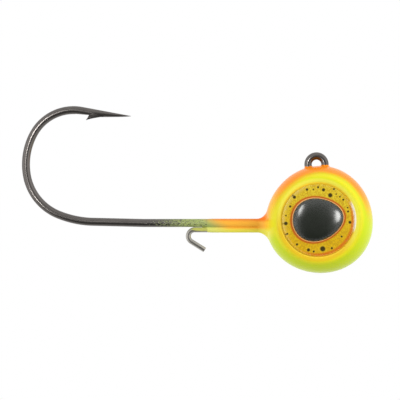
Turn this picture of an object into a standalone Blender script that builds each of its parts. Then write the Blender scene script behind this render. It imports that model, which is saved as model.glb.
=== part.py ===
"""Painted ball jig head: a lead ball cast on a bent hook, with a bait keeper and stick-on eyes.

Frame: the origin is the centre of the line-tie ring, +X points to the front of
the ball, +Z is up, and the hook lies in the XZ plane. The jig's right side is
at -Y. Sizes are in millimetres until a mesh is made, which is in metres.
"""
import math

import bmesh
import bpy
from mathutils import Matrix, Vector

MM = 0.001
ACROSS = Vector((0.0, 1.0, 0.0))

# Clearance between two pieces that touch on the real object.
GAP = 0.03

# Ball and paint. The ball radius is measured over the paint; the casting is
# a little out of round, with three low lobes round the Y axis.
BALL_CENTRE = Vector((0.48, 0.0, -8.78))
BALL_RADIUS = 8.44
BALL_LOBES = 3
LOBE_HEIGHT = 0.13
LOBE_ANGLE = math.radians(-38.0)
PAINT = 0.08
SLEEVE_PAINT = 0.04
SLEEVE_END_X = -15.8

# Neck: a round fillet from the pair of wires up to the ball.
NECK_RADIUS = 1.2
NECK_FILLET = 1.4
NECK_ROOT = 5.5
LEAD_NECK_START = 30.0
HOLLOW_NECK_START = 28.0

# Hook wire.
HOOK_RADIUS = 0.64
RING_WIRE_RADIUS = 0.59
RING_RADIUS = 1.33
RING_CUT_ANGLE = -52.0
RING_SHOULDER_RADIUS = 1.0
RISER_TAPER = 2.0
SHANK_Z = -9.22
SHANK_CORNER_RADIUS = 2.0
BEND_START_X = -27.16
# Radius and turn of each arc of the bend, from the shank up to the point.
BEND_ARCS = ((175.0, 2.75), (15.4, 19.3), (8.18, 58.5), (10.17, 37.3), (7.13, 72.8))
POINT_RUN = 7.75
POINT_TAPER = 5.9
POINT_TAPER_POWER = 0.85
POINT_TAPER_STEPS = 4
POINT_TIP_RADIUS = 0.03

# Barb cut, as (distance along the point run, height above its centreline, half
# width): the sliver that is raised, and the groove that it leaves behind it.
BARB_OUTLINE = ((0.91, -1.22, 0.05), (1.28, -0.4, 0.33), (2.2, -0.15, 0.33), (2.7, -0.45, 0.33))
GROOVE_OUTLINE = ((-0.9, -0.66, 0.8), (1.25, -0.42, 0.8), (0.9, -1.1, 0.8), (-0.9, -1.1, 0.8))

# Keeper wire.
KEEPER_RADIUS = 0.40
KEEPER_Z = -10.29
KEEPER_ANCHOR_X = -2.6
KEEPER_ANCHOR_TURN = 60.0
KEEPER_ANCHOR_LENGTH = 1.0
KEEPER_BEND_X = -19.17
KEEPER_BEND_RADIUS = 1.0
KEEPER_BEND_TURN = 148.0
KEEPER_LEG = 2.5

# Eyes. Heights are distances from the XZ plane.
EYE_CENTRE = Vector((0.14, 0.0, -8.74))
SOCKET_FLOOR = 4.9
SOCKET_RADIUS = 5.75
SOCKET_DEPTH = 4.5
ADHESIVE_RADIUS = 5.5
ADHESIVE_THICKNESS = 0.15
IRIS_RADIUS = 5.67
IRIS_THICKNESS = 0.12
LENS_RIM = 0.35
LENS_HEIGHT = 1.7
PUPIL_HEIGHT = 0.95
PUPIL_HALF_LENGTH = 3.86
PUPIL_HALF_HEIGHT = 3.24
PUPIL_TAPER = 0.144
PUPIL_LIFT = 0.4
PUPIL_LIFT_POWER = 3

# Facets.
BALL_SEGMENTS = 40
NECK_SEGMENTS = 24
EYE_SEGMENTS = 40
HOOK_SIDES = 12
KEEPER_SIDES = 10
ARC_STEP = 12.0
DOME_STEPS = 5
SMOOTH_ANGLE = math.radians(35.0)


# --- points and meshes -------------------------------------------------------

def circle(centre, first_axis, second_axis, radius, count):
    """Return the points of a circle spanned by two unit axes."""
    angles = [math.tau * step / count for step in range(count)]
    return [centre + (first_axis * math.cos(a) + second_axis * math.sin(a)) * radius for a in angles]


def loft(name, rings):
    """Join rings of points into one closed mesh; a ring of one point closes an end to a tip."""
    bm = bmesh.new()
    loops = [[bm.verts.new(point * MM) for point in ring] for ring in rings]
    for lower, upper in zip(loops, loops[1:]):
        count = max(len(lower), len(upper))
        for step in range(count):
            following = (step + 1) % count
            corners = [lower[step % len(lower)], lower[following % len(lower)],
                       upper[following % len(upper)], upper[step % len(upper)]]
            bm.faces.new(list(dict.fromkeys(corners)))
    for end in (loops[0], loops[-1]):
        if len(end) > 2:
            bm.faces.new(end)
    bmesh.ops.recalc_face_normals(bm, faces=bm.faces)
    mesh = bpy.data.meshes.new(name)
    bm.to_mesh(mesh)
    bm.free()
    return mesh


def ball_mesh(name, radius):
    """Return a ball about its centre, with its poles at the two eyes and its lobes round the side."""
    bm = bmesh.new()
    upright = Matrix.Rotation(math.radians(90.0), 4, "X")
    bmesh.ops.create_uvsphere(bm, u_segments=BALL_SEGMENTS, v_segments=BALL_SEGMENTS // 2,
                              radius=radius * MM, matrix=upright)
    for vert in bm.verts:
        angle = math.atan2(vert.co.z, vert.co.x)
        swell = 1.0 + LOBE_HEIGHT / BALL_RADIUS * math.cos(BALL_LOBES * (angle - LOBE_ANGLE))
        vert.co.x *= swell
        vert.co.z *= swell
    bmesh.ops.translate(bm, verts=bm.verts, vec=BALL_CENTRE * MM)
    mesh = bpy.data.meshes.new(name)
    bm.to_mesh(mesh)
    bm.free()
    return mesh


# --- objects -----------------------------------------------------------------

def make_material(name, colour, roughness, metallic, alpha=1.0):
    """Return a Principled material with one colour."""
    material = bpy.data.materials.new(name)
    material.use_nodes = True
    shader = material.node_tree.nodes["Principled BSDF"]
    shader.inputs["Base Color"].default_value = (*colour, 1.0)
    shader.inputs["Roughness"].default_value = roughness
    shader.inputs["Metallic"].default_value = metallic
    shader.inputs["Alpha"].default_value = alpha
    return material


def add_part(name, mesh, material):
    """Put a mesh in the scene as one piece of the jig head."""
    mesh.materials.append(material)
    mesh.shade_smooth()
    mesh.set_sharp_from_angle(angle=SMOOTH_ANGLE)
    part = bpy.data.objects.new(name, mesh)
    bpy.context.scene.collection.objects.link(part)
    return part


def add_guide(name, mesh):
    """Put a mesh in the scene only for others to be cut or joined by."""
    guide = bpy.data.objects.new(name, mesh)
    guide.hide_render = True
    guide.display_type = "WIRE"
    bpy.context.scene.collection.objects.link(guide)
    return guide


def combine(part, operation, tool):
    """Cut the part by the tool, or join the tool to it."""
    modifier = part.modifiers.new(tool.name, "BOOLEAN")
    modifier.operation = operation
    modifier.object = tool
    modifier.solver = "EXACT"


# --- wires -------------------------------------------------------------------

def lay_wire(start, heading, moves):
    """Follow runs and turns in the XZ plane, from a start point and a heading in degrees.

    A move is ("run", length) or ("turn", radius, degrees), where a positive
    turn goes left. Returns stations of (point, forward, left, distance).
    """
    point = Vector(start)
    angle = math.radians(heading)
    distance = 0.0
    stations = []

    def note():
        forward = Vector((math.cos(angle), 0.0, math.sin(angle)))
        left = Vector((-math.sin(angle), 0.0, math.cos(angle)))
        stations.append((point.copy(), forward, left, distance))
        return forward, left

    note()
    for move in moves:
        if move[0] == "run":
            forward, _ = note()
            point = point + forward * move[1]
            distance += move[1]
            note()
            continue
        radius, degrees = move[1:]
        steps = max(1, math.ceil(abs(degrees) / ARC_STEP))
        part_turn = math.radians(degrees) / steps
        side = math.copysign(1.0, degrees)
        for _ in range(steps):
            _, left = note()
            centre = point + left * radius * side
            angle += part_turn
            left_after = Vector((-math.sin(angle), 0.0, math.cos(angle)))
            point = centre - left_after * radius * side
            distance += radius * abs(part_turn)
        note()
    return drop_repeats(stations)


def drop_repeats(stations):
    """Keep one station where two moves meet."""
    kept = [stations[0]]
    for station in stations[1:]:
        if station[3] - kept[-1][3] > 1e-6:
            kept.append(station)
    return kept


def sweep_wire(name, stations, section_at, sides, grow=0.0):
    """Sweep a round section along a wire, grown by the same amount all round and at its ends.

    section_at gives the radius, and how far the section's centre is moved to the left.
    """
    rings = []
    for index, (point, forward, left, distance) in enumerate(stations):
        radius, shift = section_at(distance)
        centre = point + left * shift
        if index == 0:
            centre = centre - forward * grow
        if index == len(stations) - 1:
            centre = centre + forward * grow
        rings.append(circle(centre, left, ACROSS, radius + grow, sides))
    return loft(name, rings)


def hook_stations():
    """Return the hook's route: ring, riser, corner, shank, bend and point."""
    shoulder_drop = math.sqrt(RING_RADIUS ** 2 + 2.0 * RING_RADIUS * RING_SHOULDER_RADIUS)
    shoulder_turn = math.degrees(math.atan2(shoulder_drop, RING_SHOULDER_RADIUS))
    cut = math.radians(RING_CUT_ANGLE)
    start = (RING_RADIUS * math.cos(cut), 0.0, RING_RADIUS * math.sin(cut))
    riser = -SHANK_Z - SHANK_CORNER_RADIUS - shoulder_drop
    shank = -BEND_START_X - SHANK_CORNER_RADIUS
    moves = [("turn", RING_RADIUS, 180.0 + shoulder_turn - RING_CUT_ANGLE),
             ("turn", RING_SHOULDER_RADIUS, -shoulder_turn),
             ("run", riser),
             ("turn", SHANK_CORNER_RADIUS, -90.0),
             ("run", shank)]
    moves += [("turn", radius, -degrees) for radius, degrees in BEND_ARCS]
    moves.append(("run", POINT_RUN - POINT_TAPER))
    moves += [("run", POINT_TAPER / POINT_TAPER_STEPS)] * POINT_TAPER_STEPS
    return lay_wire(start, RING_CUT_ANGLE + 90.0, moves)


def hook_section(stations):
    """Return the section function: thinner in the ring, and tapered to the point's upper edge."""
    length = stations[-1][3]
    ring_length = RING_RADIUS * math.radians(270.0 - RING_CUT_ANGLE)

    def section_at(distance):
        to_tip = length - distance
        if to_tip < POINT_TAPER:
            share = max(to_tip / POINT_TAPER, 0.0) ** POINT_TAPER_POWER
            radius = POINT_TIP_RADIUS + (HOOK_RADIUS - POINT_TIP_RADIUS) * share
            return radius, HOOK_RADIUS - radius
        past_ring = min(max((distance - ring_length) / RISER_TAPER, 0.0), 1.0)
        return RING_WIRE_RADIUS + (HOOK_RADIUS - RING_WIRE_RADIUS) * past_ring, 0.0

    return section_at


def keeper_stations():
    """Return the keeper's route: anchor in the lead, run under the shank, bend and leg."""
    turn = math.radians(KEEPER_ANCHOR_TURN)
    forward = Vector((-math.cos(turn), 0.0, math.sin(turn)))
    left = Vector((-forward.z, 0.0, forward.x))
    corner = Vector((KEEPER_ANCHOR_X, 0.0, KEEPER_Z))
    centre = corner - Vector((0.0, 0.0, KEEPER_BEND_RADIUS))
    start = centre - left * KEEPER_BEND_RADIUS - forward * KEEPER_ANCHOR_LENGTH
    moves = [("run", KEEPER_ANCHOR_LENGTH),
             ("turn", KEEPER_BEND_RADIUS, KEEPER_ANCHOR_TURN),
             ("run", KEEPER_ANCHOR_X - KEEPER_BEND_X),
             ("turn", KEEPER_BEND_RADIUS, KEEPER_BEND_TURN),
             ("run", KEEPER_LEG)]
    return lay_wire(start, 180.0 - KEEPER_ANCHOR_TURN, moves)


def keeper_section(distance):
    """Return the keeper's constant section."""
    return KEEPER_RADIUS, 0.0


def point_prism(name, stations, outline):
    """Return a prism across the hook's point, from an outline beside the point run."""
    tip, forward, left, _ = stations[-1]
    start = tip - forward * POINT_RUN
    rings = []
    for side in (-1.0, 1.0):
        rings.append([start + forward * along + left * height + ACROSS * half_width * side
                      for along, height, half_width in outline])
    return loft(name, rings)


def add_wires(gunmetal, stainless):
    """Add the hook and the keeper, and return the guides that clear their channels."""
    hook = hook_stations()
    hook_at = hook_section(hook)
    hook_part = add_part("hook", sweep_wire("hook", hook, hook_at, HOOK_SIDES), gunmetal)
    groove = add_guide("barb_groove", point_prism("barb_groove", hook, GROOVE_OUTLINE))
    combine(hook_part, "DIFFERENCE", groove)
    combine(hook_part, "UNION", add_guide("barb", point_prism("barb", hook, BARB_OUTLINE)))

    keeper = keeper_stations()
    add_part("keeper_wire", sweep_wire("keeper_wire", keeper, keeper_section, KEEPER_SIDES), stainless)

    hook_channel = sweep_wire("hook_channel", hook, hook_at, HOOK_SIDES, GAP)
    keeper_channel = sweep_wire("keeper_channel", keeper, keeper_section, KEEPER_SIDES, GAP)
    return [add_guide("hook_channel", hook_channel), add_guide("keeper_channel", keeper_channel)]


# --- head --------------------------------------------------------------------

def neck_mesh(name, inset, start_angle):
    """Return the neck, lying inset within the paint's surface, from an angle of its fillet inwards."""
    wires_middle = 0.5 * (SHANK_Z + HOOK_RADIUS + KEEPER_Z - KEEPER_RADIUS)
    fillet_side = NECK_RADIUS + NECK_FILLET
    fillet_reach = math.sqrt((BALL_RADIUS + NECK_FILLET) ** 2 - fillet_side ** 2)
    drop = BALL_CENTRE.z - wires_middle
    outward = Vector((-math.sqrt(fillet_reach ** 2 - drop ** 2), 0.0, -drop)).normalized()
    up = Vector((outward.z, 0.0, -outward.x))
    end_angle = math.degrees(math.acos(fillet_side / (BALL_RADIUS + NECK_FILLET)))

    rings = []
    steps = math.ceil((end_angle - start_angle) / ARC_STEP)
    for step in range(steps + 1):
        angle = math.radians(start_angle + (end_angle - start_angle) * step / steps)
        reach = fillet_reach - (NECK_FILLET + inset) * math.sin(angle)
        side = fillet_side - (NECK_FILLET + inset) * math.cos(angle)
        rings.append(circle(BALL_CENTRE + outward * reach, up, ACROSS, side, NECK_SEGMENTS))
    rings.append(circle(BALL_CENTRE + outward * NECK_ROOT, up, ACROSS, NECK_RADIUS, NECK_SEGMENTS))
    return loft(name, rings)


def socket_mesh(name, side, inset):
    """Return the cutter of one eye socket: a round floor with a wall that opens at 45 degrees."""
    radius = SOCKET_RADIUS + inset * math.tan(math.radians(22.5))
    rings = []
    for depth in (0.0, SOCKET_DEPTH):
        centre = EYE_CENTRE + ACROSS * side * (SOCKET_FLOOR - inset + depth)
        rings.append(circle(centre, Vector((1.0, 0.0, 0.0)), Vector((0.0, 0.0, 1.0)), radius + depth,
                            EYE_SEGMENTS))
    return loft(name, rings)


def shape_head(head, label, inset, neck_start):
    """Give a ball its neck and its two eye sockets, all lying inset within the paint's surface."""
    combine(head, "UNION", add_guide(f"{label}_neck", neck_mesh(f"{label}_neck", inset, neck_start)))
    for side in (-1.0, 1.0):
        name = f"{label}_socket_{'right' if side < 0.0 else 'left'}"
        combine(head, "DIFFERENCE", add_guide(name, socket_mesh(name, side, inset)))


def sleeve_mesh(name, z, radius, sides):
    """Return the paint's tube over one wire, from inside the neck to where the paint stops."""
    inner_end = BALL_CENTRE.x - BALL_RADIUS
    rings = [circle(Vector((x, 0.0, z)), Vector((0.0, 0.0, 1.0)), ACROSS, radius, sides)
             for x in (SLEEVE_END_X, inner_end)]
    return loft(name, rings)


def add_head(channels, lead, paint):
    """Add the lead casting and the paint over it."""
    casting = add_part("lead_head", ball_mesh("lead_head", BALL_RADIUS - PAINT - GAP), lead)
    shape_head(casting, "lead", PAINT + GAP, LEAD_NECK_START)

    hollow = add_guide("paint_hollow", ball_mesh("paint_hollow", BALL_RADIUS - PAINT))
    shape_head(hollow, "hollow", PAINT, HOLLOW_NECK_START)

    coat = add_part("paint_coat", ball_mesh("paint_coat", BALL_RADIUS), paint)
    shape_head(coat, "coat", 0.0, 0.0)
    for name, z, wire_radius, sides in (("hook_sleeve", SHANK_Z, HOOK_RADIUS, HOOK_SIDES),
                                        ("keeper_sleeve", KEEPER_Z, KEEPER_RADIUS, KEEPER_SIDES)):
        radius = wire_radius + GAP + SLEEVE_PAINT
        combine(coat, "UNION", add_guide(name, sleeve_mesh(name, z, radius, sides)))
    combine(coat, "DIFFERENCE", hollow)

    for channel in channels:
        combine(casting, "DIFFERENCE", channel)
        combine(coat, "DIFFERENCE", channel)


# --- eyes --------------------------------------------------------------------

def eye_ring(side, height, radius):
    """Return a circle of one eye at a height from the XZ plane."""
    centre = EYE_CENTRE + ACROSS * side * height
    return circle(centre, Vector((1.0, 0.0, 0.0)), Vector((0.0, 0.0, 1.0)), radius, EYE_SEGMENTS)


def pupil_ring(side, height, half_length, half_height):
    """Return the pupil's egg outline: blunt at the back, narrow and slightly raised at the front."""
    ring = []
    for step in range(EYE_SEGMENTS):
        angle = math.tau * step / EYE_SEGMENTS
        taper = 1.0 - PUPIL_TAPER * math.cos(angle)
        lift = PUPIL_LIFT * ((1.0 + math.cos(angle)) / 2.0) ** PUPIL_LIFT_POWER
        lift *= half_length / PUPIL_HALF_LENGTH
        offset = Vector((half_length * math.cos(angle), 0.0, half_height * math.sin(angle) * taper + lift))
        ring.append(EYE_CENTRE + offset + ACROSS * side * height)
    return ring


def pupil_dome(side, base, grow):
    """Return the rings of the pupil's dome, from its outline to its top."""
    rings = []
    for step in range(DOME_STEPS):
        angle = math.radians(90.0) * step / DOME_STEPS
        height = base + (PUPIL_HEIGHT + grow) * math.sin(angle)
        half_length = (PUPIL_HALF_LENGTH + grow) * math.cos(angle)
        half_height = (PUPIL_HALF_HEIGHT + grow) * math.cos(angle)
        rings.append(pupil_ring(side, height, half_length, half_height))
    rings.append([EYE_CENTRE + ACROSS * side * (base + PUPIL_HEIGHT + grow)])
    return rings


def lens_dome(side, base):
    """Return the rings of the lens's outer surface, from its underside's edge to its top."""
    rings = [eye_ring(side, base, IRIS_RADIUS)]
    for step in range(DOME_STEPS):
        angle = math.radians(90.0) * step / DOME_STEPS
        height = base + LENS_RIM + (LENS_HEIGHT - LENS_RIM) * math.sin(angle)
        rings.append(eye_ring(side, height, IRIS_RADIUS * math.cos(angle)))
    rings.append([EYE_CENTRE + ACROSS * side * (base + LENS_HEIGHT)])
    return rings


def add_eye(label, side, materials):
    """Add one stick-on eye, from the socket's floor outwards."""
    adhesive, foil, black, clear = materials
    height = SOCKET_FLOOR + GAP
    rings = [eye_ring(side, level, ADHESIVE_RADIUS) for level in (height, height + ADHESIVE_THICKNESS)]
    add_part(f"{label}_eye_adhesive", loft(f"{label}_eye_adhesive", rings), adhesive)

    height += ADHESIVE_THICKNESS + GAP
    rings = [eye_ring(side, height, IRIS_RADIUS), eye_ring(side, height + IRIS_THICKNESS, IRIS_RADIUS)]
    add_part(f"{label}_eye_iris", loft(f"{label}_eye_iris", rings), foil)

    height += IRIS_THICKNESS + GAP
    add_part(f"{label}_eye_pupil", loft(f"{label}_eye_pupil", pupil_dome(side, height, 0.0)), black)

    recess = pupil_dome(side, height, GAP)
    rings = recess[::-1] + lens_dome(side, height)
    add_part(f"{label}_eye_lens", loft(f"{label}_eye_lens", rings), clear)


# --- the jig head ------------------------------------------------------------

def main():
    """Clear the scene and build every piece."""
    for existing in list(bpy.data.objects):
        bpy.data.objects.remove(existing)

    gunmetal = make_material("black_nickel", (0.09, 0.085, 0.08), 0.28, 1.0)
    stainless = make_material("stainless", (0.50, 0.48, 0.45), 0.35, 1.0)
    lead = make_material("cast_lead", (0.35, 0.36, 0.38), 0.55, 1.0)
    paint = make_material("chartreuse_paint", (0.70, 0.85, 0.05), 0.20, 0.0)
    adhesive = make_material("clear_adhesive", (0.85, 0.85, 0.80), 0.60, 0.0)
    foil = make_material("iris_foil", (0.70, 0.48, 0.05), 0.35, 0.2)
    black = make_material("pupil_black", (0.02, 0.022, 0.02), 0.15, 0.0)
    clear = make_material("clear_resin", (0.95, 0.95, 0.92), 0.05, 0.0, alpha=0.2)

    channels = add_wires(gunmetal, stainless)
    add_head(channels, lead, paint)
    for label, side in (("right", -1.0), ("left", 1.0)):
        add_eye(label, side, (adhesive, foil, black, clear))


main()
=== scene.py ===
"""Looks of a painted ball jig head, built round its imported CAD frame.

Lengths are in millimetres until a mesh is made, which is in metres. The frame
is the CAD's: the origin is the line-tie ring's centre, +X is the front of the
ball, +Z is up, and the hook lies in the XZ plane with the right side at -Y.
"""
import math

import bpy
import numpy as np
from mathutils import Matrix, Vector


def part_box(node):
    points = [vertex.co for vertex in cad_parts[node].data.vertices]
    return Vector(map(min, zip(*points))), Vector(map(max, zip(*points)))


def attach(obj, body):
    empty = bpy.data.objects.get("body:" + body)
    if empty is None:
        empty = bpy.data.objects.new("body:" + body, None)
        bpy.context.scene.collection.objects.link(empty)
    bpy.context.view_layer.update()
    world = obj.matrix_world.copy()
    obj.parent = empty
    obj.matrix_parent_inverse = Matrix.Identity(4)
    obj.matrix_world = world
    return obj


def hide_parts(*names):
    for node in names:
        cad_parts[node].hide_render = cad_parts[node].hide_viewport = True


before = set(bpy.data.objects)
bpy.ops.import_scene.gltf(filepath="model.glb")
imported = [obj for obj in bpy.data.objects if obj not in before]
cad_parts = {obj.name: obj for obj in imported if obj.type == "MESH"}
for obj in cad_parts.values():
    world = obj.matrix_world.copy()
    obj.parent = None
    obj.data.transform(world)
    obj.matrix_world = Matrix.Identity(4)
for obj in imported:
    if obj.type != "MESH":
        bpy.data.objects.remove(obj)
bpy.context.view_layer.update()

MM = 0.001
ACROSS = Vector((0.0, 1.0, 0.0))

# Ball and paint. The sleeve is the paint along both wires behind the neck; the ring's paint climbs its feet.
BALL_CENTRE = Vector((0.48, 0.0, -8.78))
BALL_RADIUS = 8.44
BALL_LOBES = 3
LOBE_HEIGHT = 0.13
LOBE_ANGLE = math.radians(-38.0)
PAINT = 0.08
NECK_FILLET = 1.4
NECK_END_X = -8.3
SLEEVE_PAINT = 0.04
SLEEVE_END_X = -18.0
SLEEVE_FEATHER = 1.6
GROOVE_FILL = 0.12
RING_PAINT = 0.04
RING_MENISCUS = 0.3
RING_PAINT_TOP = -0.5
RING_PAINT_LEAN = 0.12
RING_PAINT_FADE = 0.3
RING_PAINT_REACH = 0.4

# Eye sockets. Heights are distances from the XZ plane.
SOCKET_FLOOR = 4.9
SOCKET_RADIUS = 5.75
SOCKET_FOOT_ROUND = 0.4
SOCKET_LIP_ROUND = 0.8

# Hook wire. The bend is a chain of (radius, degrees) arcs.
HOOK_RADIUS = 0.64
RING_WIRE_RADIUS = 0.59
RING_RADIUS = 1.33
RING_CUT_ANGLE = -52.0
RING_SHOULDER_RADIUS = 1.0
RISER_TAPER = 2.0
SHANK_Z = -9.22
SHANK_CORNER_RADIUS = 2.0
BEND_START_X = -27.16
BEND_ARCS = ((175.0, 2.75), (15.4, 19.3), (8.18, 58.5), (10.17, 37.3), (7.13, 72.8))
POINT_RUN = 7.75
POINT_TAPER = 5.9
POINT_TAPER_POWER = 0.85
POINT_TAPER_STEPS = 24
POINT_TIP_RADIUS = 0.02

# Barb. Points are (distance along the point run, height above its centreline). The raised sliver runs from
# its tip to its root, and the scoop, slit and dents are cut out of the wire round it.
BARB_TIP = (0.88, -1.36)
BARB_HEEL = (1.28, -0.42)
BARB_ROOT = (3.0, -0.44)
BARB_TOP_RISE = 0.3
BARB_HALF_WIDTH = 0.42
BARB_SPACING_POWER = 1.4
BARB_BELLY_POWER = 0.8
BARB_WIDTH_POWER = 0.6
BARB_RINGS = 12
BARB_SIDES = 24
CUT_HALF_WIDTH = 0.8
SCOOP_OUTLINE = ((-0.9, -0.66), (1.25, -0.42), (0.9, -1.1), (-0.9, -1.1))
SLIT_OUTLINE = ((1.16, -0.5), (1.36, -0.5), (1.64, 0.14))
DENT_OUTLINE = ((1.3, -0.42), (1.66, 0.1), (3.1, -0.2), (2.7, -0.9), (1.3, -0.9))
DENT_DEPTH = 0.43

# Keeper wire.
KEEPER_RADIUS = 0.40
KEEPER_Z = -10.29
KEEPER_ANCHOR_X = -2.6
KEEPER_ANCHOR_TURN = 60.0
KEEPER_ANCHOR_LENGTH = 1.0
KEEPER_BEND_X = -19.17
KEEPER_BEND_RADIUS = 1.0
KEEPER_BEND_TURN = 148.0
KEEPER_LEG = 2.5
KEEPER_END_BEVEL = 0.07

# Eyes. Heights are above the foil, and the lens's base is sunk into it.
FOIL_BEVEL = 0.02
LENS_RADIUS = 5.63
LENS_SINK = 0.02
LENS_FLARE = 0.06
LENS_EDGE = 0.2
LENS_FLAT = 0.62
LENS_FOOT_ROUND = 0.05
LENS_TOP = 1.65
PUPIL_HALF_LENGTH = 3.86
PUPIL_HALF_HEIGHT = 3.24
PUPIL_RADIUS = 3.5
PUPIL_TAPER = 0.144
PUPIL_LIFT = 0.4
PUPIL_LIFT_POWER = 3
PUPIL_HEIGHT = 0.95
PUPIL_WALL = 0.04

# Facets: cells of the distance field's grid and the box that it fills, rounds of smoothing, degrees of an arc
# that one step turns through, and sides and steps of the round shapes.
HEAD_CELL = 0.13
LEAD_CELL = 0.3
FIELD_BOX = ((-18.8, -6.8, -18.0), (9.8, 6.8, 1.6))
HEAD_RELAX = 4
ARC_STEP = 3.0
HOOK_SIDES = 40
KEEPER_SIDES = 32
EYE_SEGMENTS = 128
PUPIL_STEPS = 16
LENS_EDGE_STEPS = 10
LENS_DOME_STEPS = 24
SMOOTH_ANGLE = math.radians(40.0)

# Camera and floor.
VIEW_CENTRE = Vector((-18.34, 0.0, -5.60))
VIEW_WIDTH = 62.96
LENS_LENGTH = 500.0
SENSOR = 36.0
FLOOR_DROP = 90.0
FLOOR_RADIUS = 570.0
FLOOR_SIDES = 96

# Room light, relative to the white backdrop: its level, and panels that add to it or take from it, as (name,
# strength, azimuth, elevation, half width, half height, softness). Angles are in degrees, and azimuth 0 is
# the side that the camera is on.
ROOM = 1.05
PANELS = (("dark_front", -0.86, 0.0, -22.0, 34.0, 50.0, 0.55),
          ("dark_below", -0.12, 0.0, -90.0, 60.0, 60.0, 0.6),
          ("right_fill", 0.4, 58.0, 8.0, 24.0, 30.0, 0.8),
          ("left_fill", 0.6, -65.0, 5.0, 16.0, 30.0, 0.8))

# Area lights that only some pieces catch, as (name, pieces, power, azimuth, elevation, width, height), in
# watts, degrees and millimetres at LIGHT_DISTANCE. The pieces are named in the call of make_studio.
LIGHT_DISTANCE = 400.0
LIGHTS = (("key", "head", 0.72, 50.0, 12.0, 300.0, 300.0),
          ("low_fill", "skin", 0.35, -55.0, -12.0, 300.0, 300.0),
          ("right_eye_glint", "right_pupil", 1.9, 30.0, 6.0, 120.0, 200.0),
          ("right_eye_streak", "right_pupil", 0.75, -26.0, 18.0, 50.0, 150.0),
          ("left_eye_glint", "left_pupil", 1.2, 150.0, 6.0, 120.0, 200.0),
          ("left_eye_streak", "left_pupil", 0.75, 206.0, 18.0, 50.0, 150.0),
          ("upper_glint", "hook", 0.42, -15.0, 9.0, 36.0, 36.0),
          ("lower_glint", "hook", 0.24, -23.0, -14.0, 60.0, 60.0))

# The eyes' place and the foil's size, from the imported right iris.
iris_low, iris_high = (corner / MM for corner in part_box("right_eye_iris"))
EYE = Vector((0.5 * (iris_low.x + iris_high.x), 0.0, 0.5 * (iris_low.z + iris_high.z)))
IRIS_RADIUS = 0.5 * (iris_high.x - iris_low.x)
FOIL_TOP = -iris_low.y
FOIL_THICKNESS = iris_high.y - iris_low.y
EYE_ANGLES = [math.tau * step / EYE_SEGMENTS for step in range(EYE_SEGMENTS)]


# --- meshes ------------------------------------------------------------------

def make_piece(name, points, faces, material, slot=None):
    """Put a mesh in the scene with its material. The slot argument, the record's slot that it stands for, is
    not used.
    """
    mesh = bpy.data.meshes.new(name)
    mesh.from_pydata(np.asarray(points, float) * MM, [], faces)
    mesh.validate()
    mesh.materials.append(material)
    mesh.shade_smooth()
    mesh.set_sharp_from_angle(angle=SMOOTH_ANGLE)
    piece = bpy.data.objects.new(name, mesh)
    bpy.context.scene.collection.objects.link(piece)
    return piece


def stitch(rings):
    """Return the points and faces of rings joined end to end; a ring of one point closes an end."""
    points = [point for ring in rings for point in ring]
    starts = np.cumsum([0] + [len(ring) for ring in rings])
    faces = []
    for index in range(len(rings) - 1):
        lower, upper = len(rings[index]), len(rings[index + 1])
        low_start, high_start = int(starts[index]), int(starts[index + 1])
        for step in range(max(lower, upper)):
            following = (step + 1) % max(lower, upper)
            corners = [low_start + step % lower, low_start + following % lower,
                       high_start + following % upper, high_start + step % upper]
            faces.append(tuple(dict.fromkeys(corners)))
    for index, end in ((0, rings[0]), (len(rings) - 1, rings[-1])):
        if len(end) > 2:
            ring_faces = [int(starts[index]) + step for step in range(len(end))]
            faces.append(tuple(ring_faces if index else ring_faces[::-1]))
    return points, faces


def ring_round(centre, first_axis, second_axis, first_radius, second_radius, count):
    """Return the points of an ellipse spanned by two unit axes."""
    points = []
    for step in range(count):
        angle = math.tau * step / count
        points.append(centre + first_axis * math.cos(angle) * first_radius
                      + second_axis * math.sin(angle) * second_radius)
    return points


def combine(piece, operation, points, faces):
    """Cut a piece by a closed shape, or join the shape to it, and keep the result as its mesh."""
    mesh = bpy.data.meshes.new("tool")
    mesh.from_pydata(np.asarray(points, float) * MM, [], faces)
    tool = bpy.data.objects.new("tool", mesh)
    bpy.context.scene.collection.objects.link(tool)
    modifier = piece.modifiers.new("combine", "BOOLEAN")
    modifier.operation = operation
    modifier.object = tool
    bpy.context.view_layer.update()
    result = bpy.data.meshes.new_from_object(piece.evaluated_get(bpy.context.evaluated_depsgraph_get()))
    piece.modifiers.clear()
    piece.data = result
    result.set_sharp_from_angle(angle=SMOOTH_ANGLE)
    bpy.data.objects.remove(tool)


# --- painted head, as the zero level of a distance field ----------------------

def round_union(first, second, radius):
    """Join two distance fields with a round fillet between them."""
    near = np.hypot(np.maximum(radius - first, 0.0), np.maximum(radius - second, 0.0))
    return np.maximum(radius, np.minimum(first, second)) - near


def round_overlap(first, second, radius):
    """Keep what two distance fields share, with a round edge between them."""
    return -round_union(-first, -second, radius)


def ball_distance(x, y, z):
    """Return the distance to the ball, which is a little out of round about the Y axis."""
    across, up = x - BALL_CENTRE.x, z - BALL_CENTRE.z
    side = np.hypot(across, up)
    swell = LOBE_HEIGHT * np.cos(BALL_LOBES * (np.arctan2(up, across) - LOBE_ANGLE))
    reach = np.hypot(side, y)
    return reach - BALL_RADIUS - swell * side / np.maximum(reach, 1.0)


def sleeve_distance(x, y, z, wire_z, wire_radius):
    """Return the distance to the paint over one wire, which thins to nothing at its end."""
    share = np.clip((x - SLEEVE_END_X) / SLEEVE_FEATHER, 0.0, 1.0)
    paint = SLEEVE_PAINT * (2.0 * share - 1.0)
    ends = np.maximum(SLEEVE_END_X - x, x - BALL_CENTRE.x)
    return np.maximum(np.hypot(y, z - wire_z) - wire_radius - paint, ends)


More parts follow.
